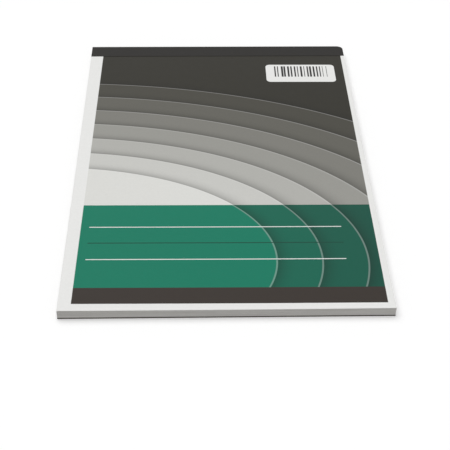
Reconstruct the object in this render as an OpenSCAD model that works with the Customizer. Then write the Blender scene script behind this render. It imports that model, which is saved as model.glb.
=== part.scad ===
// Tape-bound writing pad: ruled sheets glued along the head onto a chipboard back, under a printed
// front cover, with one tape folded round the head.
// It lies on its back: X runs across, +Y towards the bound head, Z up. The origin is the middle of the back.

/* [Sheets] */
// Width of the trimmed pad
pad_w = 152; // [100:1:220]
// Length of the trimmed pad, from the tail to the bound head
pad_l = 228; // [140:1:300]
// Thickness of one ruled sheet
sheet_t = 0.08; // [0.06:0.01:0.14]
// Number of ruled sheets
sheet_count = 50; // [20:1:100]
// Most that a sheet falls back from the trimmed edge
edge_jog = 0.06; // [0.02:0.01:0.2]

/* [Cover and back] */
// Thickness of the printed front cover
cover_t = 0.2; // [0.14:0.02:0.4]
// Thickness of the chipboard back
board_t = 0.55; // [0.4:0.05:1.2]

/* [Binding] */
// Thickness of the glue film over the head of the sheets and the back
glue_t = 0.2; // [0.1:0.05:0.5]
// Thickness of the binding tape
tape_t = 0.12; // [0.08:0.02:0.2]
// How far the tape reaches over the front cover, from the outside of its fold
tape_front = 11; // [6:0.5:25]
// How far the tape reaches over the back, from the outside of its fold
tape_back = 14; // [6:0.5:25]

/* [Hidden] */
$fn = 48;

// Lengthwise places, with the whole pad centred on the origin
total_l = pad_l + glue_t + tape_t;
y_tail = -total_l / 2;
y_head = y_tail + pad_l;
y_glue = y_head + glue_t;
y_fold = y_glue + tape_t;

// Heights: the cover lifts off the sheets at z_part, and the tape lies on it at z_cover
z_part = board_t + sheet_count * sheet_t;
z_cover = z_part + cover_t;

// The sheets fall back in a cycle that starts at another place on each edge,
// so that neighbouring sheets never lie flush and each edge still has sheets at the full size
jog_cycle = 5;
jog_stride = 2;
left_phase = 0;
right_phase = 3;
tail_phase = 1;

// How far sheet i falls back from one edge
function jog(i, phase) = edge_jog * ((i * jog_stride + phase) % jog_cycle) / (jog_cycle - 1);

// An outline drawn in Y and Z, run across the width of the pad
module across_pad() {
    translate([-pad_w / 2, 0, 0])
        rotate([90, 0, 90])
            linear_extrude(pad_w)
                children();
}

// One leaf of the stack, counted from the back
module sheet(i) {
    left = jog(i, left_phase);
    right = jog(i, right_phase);
    tail = jog(i, tail_phase);
    translate([left - pad_w / 2, y_tail + tail, board_t + i * sheet_t])
        cube([pad_w - left - right, pad_l - tail, sheet_t]);
}

// Tape folded tight round an edge at the origin: a flap that runs back under it, the rounded fold
// and a wall that stands up behind it
module tape_angle(reach, wall_h) {
    translate([tape_t - reach, -tape_t])
        square([reach - tape_t, tape_t]);
    intersection() {
        circle(tape_t);
        translate([0, -tape_t])
            square(tape_t);
    }
    square([tape_t, wall_h]);
}

// The printed card, as long as the glued head, so that its end meets the inside of the tape
module front_cover() {
    color("seagreen")
        translate([-pad_w / 2, y_tail, z_part])
            cube([pad_w, pad_l + glue_t, cover_t]);
}

// All the ruled leaves as one trimmed block, with the fine steps that the trimmed edges show
module ruled_sheets() {
    color("ivory")
        for (i = [0 : sheet_count - 1])
            sheet(i);
}

// The chipboard back, pressed in by the tape's thickness under the back flap so that it lies flat
module backing_board() {
    y_press = y_fold - tape_back;
    color("dimgray")
        across_pad()
            polygon([
                [y_tail, 0],
                [y_press, 0],
                [y_press, tape_t],
                [y_head, tape_t],
                [y_head, board_t],
                [y_tail, board_t],
            ]);
}

// The padding glue brushed over the head of the sheets and the back
module head_glue() {
    color("whitesmoke")
        translate([-pad_w / 2, y_head, tape_t])
            cube([pad_w, glue_t, z_part - tape_t]);
}

// The tape's back flap and its wall over the glued head, up to where the cover lifts off
module binding_tape() {
    color("black")
        across_pad()
            translate([y_glue, tape_t])
                tape_angle(tape_back, z_part - tape_t);
}

// The rest of the same tape, stuck to the cover and turned down over its end
module tape_front_flap() {
    color("black")
        across_pad()
            translate([y_glue, z_cover])
                mirror([0, 1])
                    tape_angle(tape_front, cover_t);
}

front_cover();
ruled_sheets();
backing_board();
head_glue();
binding_tape();
tape_front_flap();
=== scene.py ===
"""Looks of a tape-bound writing pad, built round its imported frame.

Lengths are in millimetres, and MM turns them into metres.
"""

import math
import random
from itertools import product

import bmesh
import bpy
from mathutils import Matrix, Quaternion, Vector


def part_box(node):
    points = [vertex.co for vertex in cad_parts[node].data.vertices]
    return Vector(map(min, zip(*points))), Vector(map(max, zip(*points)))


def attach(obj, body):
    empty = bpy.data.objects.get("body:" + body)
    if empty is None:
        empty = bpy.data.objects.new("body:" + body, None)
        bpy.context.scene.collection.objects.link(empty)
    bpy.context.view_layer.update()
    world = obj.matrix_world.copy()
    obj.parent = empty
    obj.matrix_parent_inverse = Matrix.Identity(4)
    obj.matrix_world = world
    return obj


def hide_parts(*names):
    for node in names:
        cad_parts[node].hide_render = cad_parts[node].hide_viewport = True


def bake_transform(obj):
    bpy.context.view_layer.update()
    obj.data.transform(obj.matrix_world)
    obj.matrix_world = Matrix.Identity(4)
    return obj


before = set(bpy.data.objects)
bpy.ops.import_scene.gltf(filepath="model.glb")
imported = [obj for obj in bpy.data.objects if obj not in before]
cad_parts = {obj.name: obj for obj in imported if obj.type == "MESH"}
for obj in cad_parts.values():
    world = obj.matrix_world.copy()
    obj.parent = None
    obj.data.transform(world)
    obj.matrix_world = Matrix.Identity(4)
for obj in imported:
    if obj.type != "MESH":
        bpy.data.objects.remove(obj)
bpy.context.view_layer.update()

MM = 0.001


# Sizes that the frame gives


def node_box(node):
    """Lowest and highest corner of a CAD node."""
    low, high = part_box(node)
    return Vector(low) / MM, Vector(high) / MM


cover_low, cover_high = node_box("front_cover")
sheets_low, sheets_high = node_box("ruled_sheets")
glue_low, glue_high = node_box("head_glue")
wall_low, wall_high = node_box("binding_tape")
flap_low, flap_high = node_box("tape_front_flap")

PAD_W = cover_high.x - cover_low.x
HALF_W = PAD_W / 2
Y_TAIL = cover_low.y
Y_FOLD = wall_high.y
Z_PART = cover_low.z
Z_COVER = cover_high.z
TAPE_T = flap_high.z - Z_COVER
SHEET_COUNT = 50
SHEET_T = (sheets_high.z - sheets_low.z) / SHEET_COUNT


# The bumped corner at the right of the head, and grids that can follow it

BUMP_REACH = 3.4
BUMP_STEPS = 8
BUMP_FOOT = sheets_low.z
BUMP_FULL = 3.0


def bumped(point):
    """A point of the pad, pushed in at the bumped corner: not at all at the back, most near the cover."""
    across = point.x - (HALF_W - BUMP_REACH)
    along = point.y - (Y_FOLD - BUMP_REACH)
    if across <= 0 or along <= 0:
        return point
    rise = min(1.0, max(0.0, (point.z - BUMP_FOOT) / (BUMP_FULL - BUMP_FOOT)))
    share = rise * rise * (3 - 2 * rise)
    pull = (1 - max(across, along) / math.hypot(across, along)) * share
    return point - Vector((across, along, 0)) * pull


def spaced(low, high, steps):
    """Places from low to high, both included, in so many even steps."""
    return [low + (high - low) * i / steps for i in range(steps + 1)]


def grid_lines(low, high, pitch):
    """Places about a pitch apart, and closer in the last stretch, which the bump may turn."""
    turn = high - BUMP_REACH
    steps = max(1, round((turn - low) / pitch))
    return spaced(low, turn, steps)[:-1] + spaced(turn, high, BUMP_STEPS)


# Slabs of stock

SHARP_ANGLE = math.radians(35)
SQUARE = ((0, 0), (1, 0), (1, 1), (0, 1))


def add_slab(form, xs, ys, zs, shape=bumped):
    """Adds a closed box to a form, its sides divided at the given places and each point moved by shape."""
    lines = (xs, ys, zs)
    ends = [len(line) - 1 for line in lines]
    points = {}

    def point(index):
        if index not in points:
            place = Vector([line[k] for line, k in zip(lines, index)])
            points[index] = form.verts.new(shape(place) * MM)
        return points[index]

    for axis in range(3):
        first, second = (axis + 1) % 3, (axis + 2) % 3
        for level, order in ((0, -1), (ends[axis], 1)):
            for i, j in product(range(ends[first]), range(ends[second])):
                corners = []
                for step_i, step_j in SQUARE:
                    index = [level] * 3
                    index[first] = i + step_i
                    index[second] = j + step_j
                    corners.append(point(tuple(index)))
                form.faces.new(corners[::order])


def make_piece(name, form):
    """An object from a form, smooth apart from its edges."""
    mesh = bpy.data.meshes.new(name)
    form.to_mesh(mesh)
    form.free()
    mesh.shade_smooth()
    mesh.set_sharp_from_angle(angle=SHARP_ANGLE)
    piece = bpy.data.objects.new(name, mesh)
    bpy.context.collection.objects.link(piece)
    return piece


# The bake map of a slab: each side has a rectangle, given by its left, bottom, right and top

BAKE_MAP = "OFBake"
FACE_LAYOUT = {
    "+z": (0.01, 0.01, 0.66, 0.98),
    "-z": (0.68, 0.01, 0.99, 0.475),
    "-y": (0.70, 0.50, 0.74, 0.98),
    "+y": (0.76, 0.50, 0.80, 0.98),
    "-x": (0.82, 0.50, 0.86, 0.98),
    "+x": (0.88, 0.50, 0.92, 0.98),
}
EDGE_LAYOUT = {
    "-y": (0.01, 0.01, 0.20, 0.99),
    "-x": (0.22, 0.01, 0.41, 0.99),
    "+x": (0.43, 0.01, 0.62, 0.99),
    "+y": (0.64, 0.01, 0.75, 0.99),
    "+z": (0.77, 0.01, 0.98, 0.32),
    "-z": (0.77, 0.35, 0.98, 0.66),
}
MAP_AXES = {"z": (0, 1), "y": (2, 0), "x": (2, 1)}


def side_of(face):
    """Which side of a slab a face is on, from its normal."""
    normal = face.normal
    axis = max(range(3), key=lambda k: abs(normal[k]))
    return ("+" if normal[axis] > 0 else "-") + "xyz"[axis]


def map_sides(piece, layout):
    """Gives a slab a bake map on which each side fills its rectangle of the layout."""
    mesh = piece.data
    corners = [vertex.co for vertex in mesh.vertices]
    low = Vector([min(c[k] for c in corners) for k in range(3)])
    span = Vector([max(c[k] for c in corners) - low[k] for k in range(3)])
    layer = mesh.uv_layers.new(name=BAKE_MAP)
    for face in mesh.polygons:
        side = side_of(face)
        left, bottom, right, top = layout[side]
        u_axis, v_axis = MAP_AXES[side[1]]
        for corner in face.loop_indices:
            point = corners[mesh.loops[corner].vertex_index] - low
            u = left + (right - left) * point[u_axis] / span[u_axis]
            v = bottom + (top - bottom) * point[v_axis] / span[v_axis]
            layer.data[corner].uv = (u, v)


def paint_sides(piece, materials, sides):
    """Gives a slab its materials: sides says which goes on a named side, and the first goes elsewhere."""
    for material in materials:
        piece.data.materials.append(material)
    for face in piece.data.polygons:
        face.material_index = sides.get(side_of(face), 0)


# Helpers for materials


class Field:
    """A value that varies over a surface. Arithmetic on it adds Math nodes to its tree."""

    def __init__(self, socket):
        self.socket = socket

    def apply(self, operation, *terms, clamp=False):
        """The field after a Math node's operation, with numbers or other fields as its further terms."""
        node = self.socket.id_data.nodes.new("ShaderNodeMath")
        node.operation = operation
        node.use_clamp = clamp
        for entry, term in zip(node.inputs, (self, *terms)):
            plug(entry, term)
        return Field(node.outputs[0])

    def __add__(self, other):
        return self.apply("ADD", other)

    def __sub__(self, other):
        return self.apply("SUBTRACT", other)

    def __mul__(self, other):
        return self.apply("MULTIPLY", other)

    def __truediv__(self, other):
        return self.apply("DIVIDE", other)

    def __abs__(self):
        return self.apply("ABSOLUTE")

    def under(self, limit, soft):
        """1 where the field is under the limit and 0 where it is over it, with a soft step between."""
        return (self * (-1 / soft)).apply("ADD", limit / soft + 0.5, clamp=True)

    def between(self, low, high, soft):
        """1 between two limits and 0 outside them, with soft steps."""
        return abs(self - (low + high) / 2).under((high - low) / 2, soft)


def plug(entry, term):
    """Sets a socket to a number or a colour, or links it to a field."""
    if isinstance(term, Field):
        entry.id_data.links.new(term.socket, entry)
    else:
        entry.default_value = term


def srgb(red, green, blue):
    """A colour as the eye names it, from 0 to 255, as the linear colour that a shader takes."""
    def linear(level):
        share = level / 255
        return share / 12.92 if share <= 0.04045 else ((share + 0.055) / 1.055) ** 2.4

    return (linear(red), linear(green), linear(blue), 1.0)


BLACK = (0.0, 0.0, 0.0, 1.0)
WHITE = (1.0, 1.0, 1.0, 1.0)


class Stock:
    """A material under construction: its tree, its shader and fields over its surface."""

    def __init__(self, name, rough, gloss):
        self.material = bpy.data.materials.new(name)
        self.material.use_nodes = True
        self.nodes = self.material.node_tree.nodes
        self.shader = self.nodes["Principled BSDF"]
        self.shader.inputs["Roughness"].default_value = rough
        self.shader.inputs["Specular IOR Level"].default_value = gloss

    def places(self):
        """The point on the piece, at rest, as a vector field in metres."""
        return Field(self.nodes.new("ShaderNodeTexCoord").outputs["Object"])

    def normals(self):
        """The direction that the surface of the piece faces, as a vector field."""
        return Field(self.nodes.new("ShaderNodeTexCoord").outputs["Normal"])

    def map_places(self, width, height):
        """The place on the bake map, as a vector field, where the whole map has the given size."""
        node = self.nodes.new("ShaderNodeUVMap")
        node.uv_map = BAKE_MAP
        return self.scaled(Field(node.outputs[0]), (width, height, 1.0))

    def scaled(self, vector, factors):
        """A vector field, each part times its factor."""
        node = self.nodes.new("ShaderNodeVectorMath")
        node.operation = "MULTIPLY"
        plug(node.inputs[0], vector)
        node.inputs[1].default_value = factors
        return Field(node.outputs[0])

    def parts(self, vector):
        """The X, Y and Z of a vector field."""
        node = self.nodes.new("ShaderNodeSeparateXYZ")
        plug(node.inputs[0], vector)
        return [Field(socket) for socket in node.outputs]

    def millimetres(self, places):
        """The X, Y and Z of a vector field of places in metres, turned into millimetres."""
        return self.parts(self.scaled(places, (1 / MM,) * 3))

    def noise(self, vector, scale=1.0, detail=3.0, rough=0.55):
        """Even noise from 0 to 1, with that many features in a unit of the vector."""
        node = self.nodes.new("ShaderNodeTexNoise")
        plug(node.inputs["Vector"], vector)
        node.inputs["Scale"].default_value = scale
        node.inputs["Detail"].default_value = detail
        node.inputs["Roughness"].default_value = rough
        return Field(node.outputs["Fac"])

    def draw(self, number):
        """A number from 0 to 1, drawn anew for each whole number."""
        node = self.nodes.new("ShaderNodeTexWhiteNoise")
        node.noise_dimensions = "1D"
        plug(node.inputs["W"], number)
        return Field(node.outputs["Value"])

    def mix(self, share, below, above):
        """One colour over another, by a share from 0 to 1."""
        node = self.nodes.new("ShaderNodeMix")
        node.data_type = "RGBA"
        plug(node.inputs[0], share)
        plug(node.inputs[6], below)
        plug(node.inputs[7], above)
        return Field(node.outputs[2])

    def ramp(self, share, stops):
        """A colour that runs through the stops, each a place from 0 to 1 and a colour."""
        node = self.nodes.new("ShaderNodeValToRGB")
        plug(node.inputs[0], share)
        elements = node.color_ramp.elements
        while len(elements) < len(stops):
            elements.new(0.5)
        for element, (place, colour) in zip(elements, stops):
            element.position = place
            element.color = colour
        return Field(node.outputs[0])

    def colour(self, field):
        """Colours the surface by a field."""
        plug(self.shader.inputs["Base Color"], field)

    def roughness(self, field):
        """Makes the surface rough by a field."""
        plug(self.shader.inputs["Roughness"], field)

    def bump(self, height, depth):
        """Raises the surface by a field, so many millimetres from 0 to 1."""
        node = self.nodes.new("ShaderNodeBump")
        node.inputs["Strength"].default_value = 1.0
        node.inputs["Distance"].default_value = depth * MM
        plug(node.inputs["Height"], height)
        plug(self.shader.inputs["Normal"], Field(node.outputs[0]))


# In the materials below, noise scales are features in a metre and reliefs are millimetres


# The cover's print: places are measured from the left edge and from the tail

PRINT_LEFT = 6.65
PRINT_RIGHT = 149.3
PRINT_TAIL = 4.05
PRINT_HEAD = cover_high.y - Y_TAIL
PRINT_SKEW = math.radians(0.30)
PRINT_SOFT = 0.16
STRIP_TOP = 14.5
BAND_TOP = 74.5
WHITE_STOCK = srgb(240, 240, 238)
STRIP_INK = srgb(52, 45, 40)

ARC_CENTRE = (-14.0, 34.0)
ARC_STRETCH = 1.6
ARC_FIRST = 72.0
ARC_STEP = 13.5
ARC_COUNT = 7
ARC_SHADE = 0.42
ARC_SHADE_REACH = 7.0
ARC_SHADE_CURVE = 2.5
ARC_RIM = 0.5
ARC_RIM_SHARE = 0.16
GREY_NEAR = (226, 226, 222)
GREY_FAR = (40, 38, 30)
GREY_FALL = 1.15
GREEN_NEAR = (4, 121, 95)
GREEN_FAR = (12, 50, 41)
GREEN_FALL = 0.60

RULE_LEFT = 10.8
RULE_RIGHT = 133.5
RULE_WIDTH = 0.55
RULES = ((57.5, WHITE_STOCK), (45.7, srgb(4, 62, 48)), (33.9, WHITE_STOCK))

PANEL_LEFT = 103.5
PANEL_RIGHT = 144.1
PANEL_BOTTOM = 188.6
PANEL_TOP = 207.4
PANEL_ROUND = 2.5
BARS_LEFT = PANEL_LEFT + 4.6
BARS_RIGHT = PANEL_RIGHT - 4.6
BARS_BOTTOM = PANEL_BOTTOM + 5.6
BARS_TOP = PANEL_TOP - 1.8
BAR_INK = srgb(30, 29, 27)

# A bar's start, least width and further width are shares of the pitch, and the draws choose among them
BAR_PITCH = 1.9
BAR_START = 0.30
BAR_LEAST = 0.16
BAR_SPREAD = 0.54
BAR_START_DRAW = 11
BAR_SPREAD_DRAW = 25

CARD_MOTTLE = 900.0
CARD_MOTTLE_SHARE = 0.08
CARD_SHEEN = 260.0
CARD_ROUGH = 0.40
CARD_ROUGH_SPREAD = 0.10
CARD_GRAIN = 2600.0
CARD_RELIEF = 0.010
CARD_BACK_STRETCH = (1.0, 0.45, 1.0)
CARD_BACK_TONES = [(0.30, srgb(226, 225, 220)), (0.70, srgb(238, 237, 233))]
CARD_BACK_RELIEF = 0.006


def tone(near, far, fall, i):
    """The ink of arc i, on the way from the near ink to the far one."""
    share = (i / ARC_COUNT) ** fall
    return srgb(*[a + (b - a) * share for a, b in zip(near, far)])


def arc_ink(stock, in_band, i):
    """The ink of arc i: a grey, or a green in the band."""
    grey = tone(GREY_NEAR, GREY_FAR, GREY_FALL, i)
    return stock.mix(in_band, grey, tone(GREEN_NEAR, GREEN_FAR, GREEN_FALL, i))


def layered_arcs(stock, u, v):
    """Arcs that lie on each other like cut paper, each with a soft shade: greys, and greens in the band."""
    across = (u - ARC_CENTRE[0]) / ARC_STRETCH
    along = v - ARC_CENTRE[1]
    radius = (across * across + along * along).apply("SQRT")
    in_band = v.under(BAND_TOP, PRINT_SOFT)
    ink = arc_ink(stock, in_band, ARC_COUNT)
    for i in reversed(range(ARC_COUNT)):
        edge = ARC_FIRST + i * ARC_STEP
        shade = ((radius - edge) * (-1 / ARC_SHADE_REACH)).apply("ADD", 1.0, clamp=True)
        ink = stock.mix(shade.apply("POWER", ARC_SHADE_CURVE) * ARC_SHADE, ink, BLACK)
        ink = stock.mix(radius.under(edge, PRINT_SOFT), ink, arc_ink(stock, in_band, i))
        rim = radius.between(edge - ARC_RIM, edge, PRINT_SOFT)
        ink = stock.mix(rim * ARC_RIM_SHARE, ink, WHITE)
    return ink


def band_rules(stock, u, v, ink):
    """Rules over the ink of the band: two blank ones, and a dark one between them."""
    for place, rule_ink in RULES:
        rule = v.between(place - RULE_WIDTH / 2, place + RULE_WIDTH / 2, PRINT_SOFT)
        ink = stock.mix(rule * u.between(RULE_LEFT, RULE_RIGHT, PRINT_SOFT), ink, rule_ink)
    return ink


def rounded_panel(u, v):
    """1 inside the panel, a rectangle with round corners."""
    half_w = (PANEL_RIGHT - PANEL_LEFT) / 2 - PANEL_ROUND
    half_h = (PANEL_TOP - PANEL_BOTTOM) / 2 - PANEL_ROUND
    across = (abs(u - (PANEL_LEFT + PANEL_RIGHT) / 2) - half_w).apply("MAXIMUM", 0.0)
    along = (abs(v - (PANEL_BOTTOM + PANEL_TOP) / 2) - half_h).apply("MAXIMUM", 0.0)
    return (across * across + along * along).apply("SQRT").under(PANEL_ROUND, PRINT_SOFT)


def bar_panel(stock, u, v, ink):
    """A white panel over the ink, with bars of drawn places and widths, which stand for nothing."""
    ink = stock.mix(rounded_panel(u, v), ink, WHITE_STOCK)
    place = u / BAR_PITCH
    cell = place.apply("FLOOR")
    start = stock.draw(cell + BAR_START_DRAW) * BAR_START
    half_width = (stock.draw(cell + BAR_SPREAD_DRAW) * BAR_SPREAD + BAR_LEAST) * 0.5
    offset = place.apply("FRACT") - start - half_width
    bars = (abs(offset) - half_width).under(0.0, PRINT_SOFT / BAR_PITCH)
    bars = bars * u.between(BARS_LEFT, BARS_RIGHT, PRINT_SOFT)
    bars = bars * v.between(BARS_BOTTOM, BARS_TOP, PRINT_SOFT)
    return stock.mix(bars, ink, BAR_INK)


def printed_card():
    """Card printed in flat inks, a little askew: arcs, a band with rules, a strip and a panel."""
    stock = Stock("printed_card", rough=CARD_ROUGH, gloss=0.14)
    places = stock.places()
    x, y, _ = stock.millimetres(places)
    u = x + HALF_W - y * PRINT_SKEW
    v = y - Y_TAIL + x * PRINT_SKEW
    ink = layered_arcs(stock, u, v)
    ink = band_rules(stock, u, v, ink)
    ink = stock.mix(v.under(STRIP_TOP, PRINT_SOFT), ink, STRIP_INK)
    ink = bar_panel(stock, u, v, ink)
    in_width = u.between(PRINT_LEFT, PRINT_RIGHT, PRINT_SOFT)
    in_length = v.between(PRINT_TAIL, PRINT_HEAD, PRINT_SOFT)
    colour = stock.mix(in_width * in_length, WHITE_STOCK, ink)
    mottle = stock.noise(places, CARD_MOTTLE, detail=4.0)
    stock.colour(stock.mix(mottle * CARD_MOTTLE_SHARE, colour, BLACK))
    stock.roughness(stock.noise(places, CARD_SHEEN) * CARD_ROUGH_SPREAD + CARD_ROUGH)
    stock.bump(stock.noise(places, CARD_GRAIN, detail=2.0), CARD_RELIEF)
    return stock.material


def plain_card():
    """The white back and cut edges of the printed card."""
    stock = Stock("plain_card", rough=0.62, gloss=0.30)
    places = stock.scaled(stock.places(), CARD_BACK_STRETCH)
    fibres = stock.noise(places, CARD_GRAIN, detail=4.0)
    stock.colour(stock.ramp(fibres, CARD_BACK_TONES))
    stock.bump(fibres, CARD_BACK_RELIEF)
    return stock.material


# Paper

PAPER_LIGHT = srgb(241, 240, 237)
PAPER_DARK = srgb(233, 231, 226)
PAPER_TONES = [(0.32, PAPER_DARK), (0.66, PAPER_LIGHT)]
PAPER_CLOUDS = 160.0
PAPER_FIBRES = 1800.0
PAPER_STRETCH = (1.0, 0.4, 1.0)
PAPER_RELIEF = 0.010
LEAF_PLANE = (1.0, 1.0, 0.0)

RULING_STEP = 8.0
RULING_FIRST = 20.0
RULING_LAST = 206.0
RULING_WIDTH = 0.32
RULING_INK = srgb(148, 176, 198)
RULING_PATCHES = 700.0
RULING_LEAST = 0.45
RULING_SPREAD = 0.5

# On the edges, streaks are drawn out along the leaves, and each leaf's rules end a little apart
LEAF_STREAKS = (22.0, 22.0, 9000.0)
LIFT_STREAKS = (9.0, 9.0, 1500.0)
LEAF_STREAK_SHARE = 0.6
STREAK_TONES = [(0.30, srgb(196, 193, 188)), (0.50, srgb(226, 224, 220)), (0.68, PAPER_LIGHT)]
STREAK_RELIEF = 0.03
RULING_DRIFT = 0.9
RULING_END_SHARE = 0.6


def ruling(v):
    """1 on the rules and 0 between them, by how far a place lies from the tail."""
    offset = ((v - RULING_FIRST) / RULING_STEP + 0.5).apply("FRACT") - 0.5
    rules = abs(offset).under(RULING_WIDTH / RULING_STEP / 2, PRINT_SOFT / RULING_STEP)
    return rules * v.between(RULING_FIRST - RULING_STEP / 2, RULING_LAST, PRINT_SOFT)


def ruled_paper():
    """Thin cloudy paper with pale rules from edge to edge, alike on every leaf."""
    stock = Stock("ruled_paper", rough=0.74, gloss=0.25)
    places = stock.scaled(stock.places(), LEAF_PLANE)
    clouds = stock.noise(places, PAPER_CLOUDS, detail=5.0)
    fibres = stock.noise(stock.scaled(places, PAPER_STRETCH), PAPER_FIBRES, detail=4.0)
    paper = stock.ramp((clouds + fibres) * 0.5, PAPER_TONES)
    strength = stock.noise(places, RULING_PATCHES) * RULING_SPREAD + RULING_LEAST
    _, y, _ = stock.millimetres(places)
    stock.colour(stock.mix(ruling(y - Y_TAIL) * strength, paper, RULING_INK))
    stock.bump(fibres, PAPER_RELIEF)
    return stock.material


def page_edges():
    """The trimmed edges of many leaves: streaks along them, no two alike, and the ends of the rules."""
    stock = Stock("page_edges", rough=0.82, gloss=0.18)
    places = stock.places()
    leaves = stock.noise(stock.scaled(places, LEAF_STREAKS), rough=0.7)
    lifts = stock.noise(stock.scaled(places, LIFT_STREAKS), detail=2.0)
    edge = stock.ramp(leaves * LEAF_STREAK_SHARE + lifts * (1 - LEAF_STREAK_SHARE), STREAK_TONES)
    _, y, z = stock.millimetres(places)
    leaf = ((z - sheets_low.z) / SHEET_T).apply("FLOOR")
    rules = ruling(y - Y_TAIL + (stock.draw(leaf) - 0.5) * RULING_DRIFT)
    stock.colour(stock.mix(rules * leaves * RULING_END_SHARE, edge, RULING_INK))
    stock.bump(leaves, STREAK_RELIEF)
    return stock.material


# Board

BOARD_CLOUDS = 130.0
BOARD_FIBRES = 2200.0
BOARD_STRETCH = (1.0, 0.3, 1.0)
BOARD_FIBRE_SHARE = 0.85
BOARD_RELIEF = 0.035
BOARD_TONES = [(0.28, srgb(102, 94, 83)), (0.50, srgb(127, 119, 106)), (0.72, srgb(150, 142, 129))]
BOARD_FLECKS = (
    {"stretch": (1.0, 1.0, 1.0), "scale": 1500.0, "over": 0.66, "share": 0.50, "ink": srgb(62, 56, 50)},
    {"stretch": (1.0, 1.7, 1.0), "scale": 1100.0, "over": 0.69, "share": 0.45, "ink": srgb(190, 184, 172)},
)
# The cut sides' ink: partly the board's own darker cut tone, partly painted shade from the gap under the
# pad
BOARD_CUT_SHADE = srgb(36, 32, 28)
BOARD_CUT_SHADE_LEAST = 0.66
BOARD_CUT_SHADE_SPREAD = 0.46
BOARD_CUT_SLOPE = 0.5


def chipboard():
    """Grey-brown board of pressed waste paper, with fibres and flecks, and darker on its cut sides: partly
    the cut's own tone, partly painted shade.
    """
    stock = Stock("chipboard", rough=0.88, gloss=0.15)
    places = stock.places()
    clouds = stock.noise(places, BOARD_CLOUDS, detail=6.0, rough=0.65)
    fibres = stock.noise(stock.scaled(places, BOARD_STRETCH), BOARD_FIBRES, detail=5.0, rough=0.7)
    colour = stock.ramp(clouds * (1 - BOARD_FIBRE_SHARE) + fibres * BOARD_FIBRE_SHARE, BOARD_TONES)
    for kind in BOARD_FLECKS:
        field = stock.noise(stock.scaled(places, kind["stretch"]), kind["scale"], detail=1.0)
        flecks = field.apply("GREATER_THAN", kind["over"])
        colour = stock.mix(flecks * kind["share"], colour, kind["ink"])
    # Painted shade together with the cut's own darker tone, on the sides of the board that face sideways
    cut = abs(stock.parts(stock.normals())[2]).apply("LESS_THAN", BOARD_CUT_SLOPE)
    cut_tone_and_shade = fibres * BOARD_CUT_SHADE_SPREAD + BOARD_CUT_SHADE_LEAST
    stock.colour(stock.mix(cut * cut_tone_and_shade, colour, BOARD_CUT_SHADE))
    stock.bump(fibres, BOARD_RELIEF)
    return stock.material


# Glue

GLUE_RUNS = (160.0, 160.0, 2400.0)
GLUE_TONES = [(0.3, srgb(214, 209, 194)), (0.7, srgb(232, 229, 218))]
GLUE_RELIEF = 0.05


def padding_glue():
    """Dried white padding glue, a little uneven."""
    stock = Stock("padding_glue", rough=0.45, gloss=0.4)
    runs = stock.noise(stock.scaled(stock.places(), GLUE_RUNS))
    stock.colour(stock.ramp(runs, GLUE_TONES))
    stock.bump(runs, GLUE_RELIEF)
    return stock.material


# Tape: its places come from its bake map, and its noise scales are features in a millimetre

TAPE_MAP_EDGE = 0.01
TAPE_MAP_W = 0.98
TAPE_MAP_H = 0.72
TAPE_MAP_GAP = 0.03
TAPE_INSIDE_SHARE = 0.3

RIB_PITCH = 0.42
RIB_WANDER = 5.0
RIB_WANDER_SCALE = (0.12, 0.5, 1.0)
RIB_SLUB_SCALE = (0.35, 1.6, 1.0)
RIB_HEIGHT = 0.2
TAPE_FIBRES = 2.2
TAPE_FIBRE_HEIGHT = 0.6
TAPE_FIBRE_SHARE = 0.6
TAPE_CLOUDS = 0.16
TAPE_TONES = [(0.3, srgb(23, 21, 19)), (0.7, srgb(35, 33, 30))]
TAPE_ROUGH = 0.46
TAPE_ROUGH_SPREAD = 0.16
TAPE_RELIEF = 0.03

CREASE_WIDTH = 0.45
CREASE_SHARE = 0.5
CREASE_INK = srgb(104, 101, 98)
CHAFE_SCALE = 0.9
CHAFE_GAIN = 2.6
CHAFE_CUT = 0.9


def binding_paper(length, folds):
    """Black binding paper with fine uneven ribs, rubbed at its folds, given as places along its length."""
    stock = Stock("binding_paper", rough=TAPE_ROUGH, gloss=0.15)
    places = stock.map_places(PAD_W / TAPE_MAP_W, length / TAPE_MAP_H)
    _, v, _ = stock.parts(places)
    wander = stock.noise(stock.scaled(places, RIB_WANDER_SCALE)) * RIB_WANDER
    slubs = stock.noise(stock.scaled(places, RIB_SLUB_SCALE))
    ribs = (v * (2 * math.pi / RIB_PITCH) + wander).apply("SINE") * slubs
    fibres = stock.noise(places, TAPE_FIBRES, detail=4.0)
    clouds = stock.noise(places, TAPE_CLOUDS)
    colour = stock.ramp(fibres * TAPE_FIBRE_SHARE + clouds * (1 - TAPE_FIBRE_SHARE), TAPE_TONES)
    chafe = stock.noise(places, CHAFE_SCALE, detail=4.0) * CHAFE_GAIN
    chafe = chafe.apply("SUBTRACT", CHAFE_CUT, clamp=True)
    for fold in folds:
        middle = fold + TAPE_MAP_EDGE * length / TAPE_MAP_H
        crease = v.between(middle - CREASE_WIDTH / 2, middle + CREASE_WIDTH / 2, CREASE_WIDTH)
        colour = stock.mix(crease * chafe * CREASE_SHARE, colour, CREASE_INK)
    stock.colour(colour)
    stock.roughness(clouds * TAPE_ROUGH_SPREAD + TAPE_ROUGH)
    stock.bump(ribs * RIB_HEIGHT + fibres * TAPE_FIBRE_HEIGHT, TAPE_RELIEF)
    return stock.material


# The cover and the first leaf, whose free ends spring up a little

CARD_PITCH = 4.0
CURL_LEAST = 0.07
CURL_CORNERS = 0.13
CURL_RIPPLE = 0.018
RIPPLE_ACROSS = 3.1
RIPPLE_START = 0.7
RIPPLE_ALONG = 5.0
SHEET_SPRING = 0.35


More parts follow.
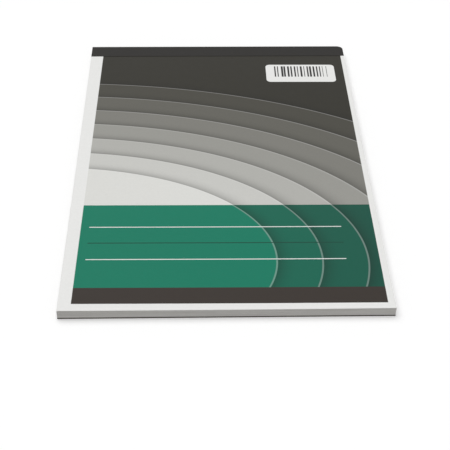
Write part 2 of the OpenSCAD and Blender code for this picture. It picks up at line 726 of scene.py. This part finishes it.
def cover_lift(x, y):
    """How far the cover springs up off the sheets: nothing at the tape, most at the free corners."""
    free = max(0.0, (flap_low.y - y) / (flap_low.y - Y_TAIL))
    across = x / HALF_W
    ripple = math.sin(RIPPLE_ACROSS * across + RIPPLE_START) * math.sin(RIPPLE_ALONG * free)
    return free * free * (CURL_LEAST + CURL_CORNERS * across * across + CURL_RIPPLE * ripple)


def sprung(share):
    """The shape of a leaf or card that springs up by a share of the cover's lift."""
    def shape(point):
        return bumped(point + Vector((0, 0, share * cover_lift(point.x, point.y))))

    return shape


def make_cover():
    """The printed card."""
    form = bmesh.new()
    xs = grid_lines(cover_low.x, cover_high.x, CARD_PITCH)
    ys = grid_lines(cover_low.y, cover_high.y, CARD_PITCH)
    add_slab(form, xs, ys, (cover_low.z, cover_high.z), sprung(1.0))
    piece = make_piece("cover_card", form)
    map_sides(piece, FACE_LAYOUT)
    paint_sides(piece, [plain_card(), printed_card()], {"+z": 1})
    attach(piece, "cover")
    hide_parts("front_cover")


def make_top_sheet(edges, faces):
    """The first ruled leaf, which shows when the cover is open."""
    form = bmesh.new()
    xs = grid_lines(sheets_low.x, sheets_high.x, CARD_PITCH)
    ys = grid_lines(sheets_low.y, sheets_high.y, CARD_PITCH)
    add_slab(form, xs, ys, (sheets_high.z - SHEET_T, sheets_high.z), sprung(SHEET_SPRING))
    piece = make_piece("top_sheet", form)
    map_sides(piece, FACE_LAYOUT)
    paint_sides(piece, [edges, faces], {"+z": 1, "-z": 1})
    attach(piece, "pad")


# The other leaves, knocked up a little unevenly in small lifts

LEAF_PITCH = 40.0
LEAF_SHARE = 0.86
LEAF_JOG = 0.05
LIFT_JOG = 0.07
LIFT_LEAVES = (3, 8)
JOG_SEED = 11


def make_sheet_block(edges, faces):
    """All leaves but the first, each a thin slab that falls back a little from the left, right and tail."""
    draw = random.Random(JOG_SEED)
    form = bmesh.new()
    lift_left = 0
    lift_jog = (0.0, 0.0, 0.0)
    for i in range(SHEET_COUNT - 1):
        if lift_left == 0:
            lift_left = draw.randint(*LIFT_LEAVES)
            lift_jog = [draw.uniform(0, LIFT_JOG) for _ in range(3)]
        lift_left -= 1
        left, right, tail = [jog + draw.uniform(0, LEAF_JOG) for jog in lift_jog]
        xs = grid_lines(sheets_low.x + left, sheets_high.x - right, LEAF_PITCH)
        ys = grid_lines(sheets_low.y + tail, sheets_high.y, LEAF_PITCH)
        bottom = sheets_low.z + i * SHEET_T
        add_slab(form, xs, ys, (bottom, bottom + SHEET_T * LEAF_SHARE))
    piece = make_piece("sheet_block", form)
    map_sides(piece, EDGE_LAYOUT)
    paint_sides(piece, [edges, faces], {"+z": 1, "-z": 1})
    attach(piece, "pad")
    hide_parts("ruled_sheets")


# The binding

GLUE_ROWS = 12
FOLD_STEPS = 6
FLAP_STEPS = 24
WALL_STEPS = 14
HINGE_ROWS = (-0.4, 0.0, 0.4)
MERGE_UNDER = 0.001


def make_glue():
    """The film of glue over the head of the sheets, which shows at its two ends."""
    form = bmesh.new()
    xs = grid_lines(glue_low.x, glue_high.x, CARD_PITCH)
    add_slab(form, xs, (glue_low.y, glue_high.y), spaced(glue_low.z, glue_high.z, GLUE_ROWS))
    piece = make_piece("glue_film", form)
    map_sides(piece, EDGE_LAYOUT)
    paint_sides(piece, [padding_glue()], {})
    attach(piece, "pad")
    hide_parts("head_glue")


def tape_path(reach):
    """The tape's run in Y and Z, from the end of its back flap round the head to the end of its front flap.

    The reach is how far the run lies outside the card and the glue: nothing for the inside of the tape.
    """
    y_in = Y_FOLD - TAPE_T
    turns = spaced(0.0, math.pi / 2, FOLD_STEPS)
    path = [(y, TAPE_T - reach) for y in spaced(wall_low.y, y_in, FLAP_STEPS)[:-1]]
    path += [(y_in + reach * math.sin(turn), TAPE_T - reach * math.cos(turn)) for turn in turns]
    path += [(y_in + reach, z) for z in spaced(TAPE_T, Z_PART, WALL_STEPS)[1:-1]]
    path += [(y_in + reach, Z_PART + share * (Z_COVER - Z_PART)) for share in HINGE_ROWS]
    path += [(y_in + reach * math.cos(turn), Z_COVER + reach * math.sin(turn)) for turn in turns]
    path += [(y, Z_COVER + reach) for y in spaced(y_in, flap_low.y, FLAP_STEPS)[1:]]
    return path


def run_lengths(path):
    """How far along the path each of its points lies."""
    lengths = [0.0]
    for (y0, z0), (y1, z1) in zip(path, path[1:]):
        lengths.append(lengths[-1] + math.hypot(y1 - y0, z1 - z0))
    return lengths


def tape_rows(along):
    """Heights on the bake map round the tape's section: its outside, with its inside squeezed above."""
    rows = [TAPE_MAP_EDGE + TAPE_MAP_H * run / along[-1] for run in along]
    inside = rows[-1] + TAPE_MAP_GAP
    return rows + [inside + (rows[-1] - row) * TAPE_INSIDE_SHARE for row in rows[::-1]]


def tape_form(outside, inside, rows):
    """The strip between two runs, closed at its ends and sides, with the bake map that the rows give."""
    form = bmesh.new()
    map_layer = form.loops.layers.uv.new(BAKE_MAP)
    xs = grid_lines(-HALF_W, HALF_W, CARD_PITCH)
    columns_at = [TAPE_MAP_EDGE + TAPE_MAP_W * (x + HALF_W) / PAD_W for x in xs]
    loop = outside + inside[::-1]
    count = len(loop)
    columns = [[form.verts.new(bumped(Vector((x, y, z))) * MM) for y, z in loop] for x in xs]
    for i, j in product(range(len(xs) - 1), range(count)):
        k = (j + 1) % count
        face = form.faces.new((columns[i][j], columns[i][k], columns[i + 1][k], columns[i + 1][j]))
        far = rows[k] if k else rows[j] + TAPE_MAP_EDGE
        spots = ((i, rows[j]), (i, far), (i + 1, far), (i + 1, rows[j]))
        for corner, (column, row) in zip(face.loops, spots):
            corner[map_layer].uv = (columns_at[column], row)
    for column, order in ((columns[0], 1), (columns[-1], -1)):
        for j in range(len(outside) - 1):
            quad = (column[j], column[count - 1 - j], column[count - 2 - j], column[j + 1])
            for corner in form.faces.new(quad[::order]).loops:
                corner[map_layer].uv = (TAPE_MAP_EDGE, 1 - TAPE_MAP_EDGE)
    bmesh.ops.remove_doubles(form, verts=form.verts, dist=MERGE_UNDER * MM)
    bmesh.ops.recalc_face_normals(form, faces=form.faces)
    return form


def make_tape():
    """One strip of binding paper folded round the head, with extra rows at the height of the cover's hinge.
    """
    outside = tape_path(TAPE_T)
    along = run_lengths(outside)
    folds = (along[FLAP_STEPS + FOLD_STEPS // 2], along[-1 - FLAP_STEPS - FOLD_STEPS // 2])
    piece = make_piece("head_tape", tape_form(outside, tape_path(0.0), tape_rows(along)))
    piece.data.materials.append(binding_paper(along[-1], folds))
    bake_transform(piece)
    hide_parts("binding_tape", "tape_front_flap")


def dress_node(node, material):
    """Gives a CAD node that keeps its own shape a better material."""
    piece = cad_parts[node]
    piece.data.materials.clear()
    piece.data.materials.append(material)


# Camera, at the photograph's angle

CAMERA_AT = Vector((-12.7, -455.8, Z_COVER + 335.5))
CAMERA_AIM = Vector((0.46, -55.2, Z_COVER))
CAMERA_ROLL = math.radians(0.80)
CAMERA_LENS = 85.6
CAMERA_SENSOR = 36.0
CAMERA_NEAR = 10.0


def make_camera():
    """The camera of the main view."""
    lens = bpy.data.cameras.new("camera")
    lens.lens = CAMERA_LENS
    lens.sensor_width = CAMERA_SENSOR
    lens.clip_start = CAMERA_NEAR * MM
    camera = bpy.data.objects.new("camera", lens)
    camera.rotation_mode = "QUATERNION"
    camera.location = CAMERA_AT * MM
    aim = (CAMERA_AIM - CAMERA_AT).to_track_quat("-Z", "Y")
    camera.rotation_quaternion = aim @ Quaternion((0, 0, 1), CAMERA_ROLL)
    bpy.context.collection.objects.link(camera)
    bpy.context.scene.camera = camera


# Floor and light

FLOOR_SIZE = 8000.0
FLOOR_DROP = 0.05
FLOOR_WHITE = (0.86, 0.86, 0.86, 1.0)
FLOOR_ROUGH = 0.9
FLOOR_GLOW = 0.20
WORLD_LIGHT = 0.40
KEY_LIGHT = 1.80
KEY_SPREAD = math.radians(55)
KEY_FROM = Vector((-0.22, 0.30, 1.0))
UNDER_LIGHT = 1.50
UNDER_SPREAD = math.radians(10)
UNDER_FROM = Vector((0.1, -0.1, -1.0))


def seen_ray(nodes):
    """1 for the rays that show the background: seen straight, in a reflection or through glass."""
    path = nodes.new("ShaderNodeLightPath")
    seen = Field(path.outputs["Is Camera Ray"])
    for other in ("Is Glossy Ray", "Is Transmission Ray"):
        seen = seen.apply("MAXIMUM", Field(path.outputs[other]))
    return seen


def floor_white():
    """A white that keeps the shadow, and that can't be seen from below."""
    stock = Stock("floor_white", rough=FLOOR_ROUGH, gloss=0.0)
    shader = stock.shader
    shader.inputs["Base Color"].default_value = FLOOR_WHITE
    shader.inputs["Emission Color"].default_value = WHITE
    plug(shader.inputs["Emission Strength"], seen_ray(stock.nodes) * FLOOR_GLOW)
    choose = stock.nodes.new("ShaderNodeMixShader")
    plug(choose.inputs[0], Field(stock.nodes.new("ShaderNodeNewGeometry").outputs["Backfacing"]))
    plug(choose.inputs[1], Field(shader.outputs[0]))
    plug(choose.inputs[2], Field(stock.nodes.new("ShaderNodeBsdfTransparent").outputs[0]))
    plug(stock.nodes["Material Output"].inputs["Surface"], Field(choose.outputs[0]))
    return stock.material


def make_floor():
    """A plain white floor. It throws no light or shade on the object, so that the back can be seen too."""
    form = bmesh.new()
    bmesh.ops.create_grid(form, x_segments=1, y_segments=1, size=FLOOR_SIZE * MM / 2)
    mesh = bpy.data.meshes.new("floor")
    form.to_mesh(mesh)
    form.free()
    mesh.materials.append(floor_white())
    floor = bpy.data.objects.new("floor", mesh)
    floor.location.z = -FLOOR_DROP * MM
    floor.visible_diffuse = False
    floor.visible_shadow = False
    bpy.context.collection.objects.link(floor)


def make_world():
    """A white surround: plain white where it is seen, and an even fill light on the object."""
    world = bpy.data.worlds.new("surround")
    world.use_nodes = True
    bpy.context.scene.world = world
    nodes = world.node_tree.nodes
    background = nodes["Background"]
    background.inputs["Color"].default_value = WHITE
    plug(background.inputs["Strength"], seen_ray(nodes) * (1 - WORLD_LIGHT) + WORLD_LIGHT)


def make_sun(name, strength, spread, source):
    """A distant lamp that shines from the given side, with a disc of the given spread."""
    data = bpy.data.lights.new(name, "SUN")
    data.energy = strength
    data.angle = spread
    lamp = bpy.data.objects.new(name, data)
    lamp.rotation_mode = "QUATERNION"
    lamp.rotation_quaternion = (-source).to_track_quat("-Z", "Y")
    bpy.context.collection.objects.link(lamp)


leaf_edges = page_edges()
leaf_faces = ruled_paper()
make_cover()
make_top_sheet(leaf_edges, leaf_faces)
make_sheet_block(leaf_edges, leaf_faces)
make_glue()
make_tape()
dress_node("backing_board", chipboard())

make_camera()
make_floor()
make_world()
make_sun("key", KEY_LIGHT, KEY_SPREAD, KEY_FROM)
make_sun("under", UNDER_LIGHT, UNDER_SPREAD, UNDER_FROM)
bpy.context.scene.view_settings.view_transform = "Standard"
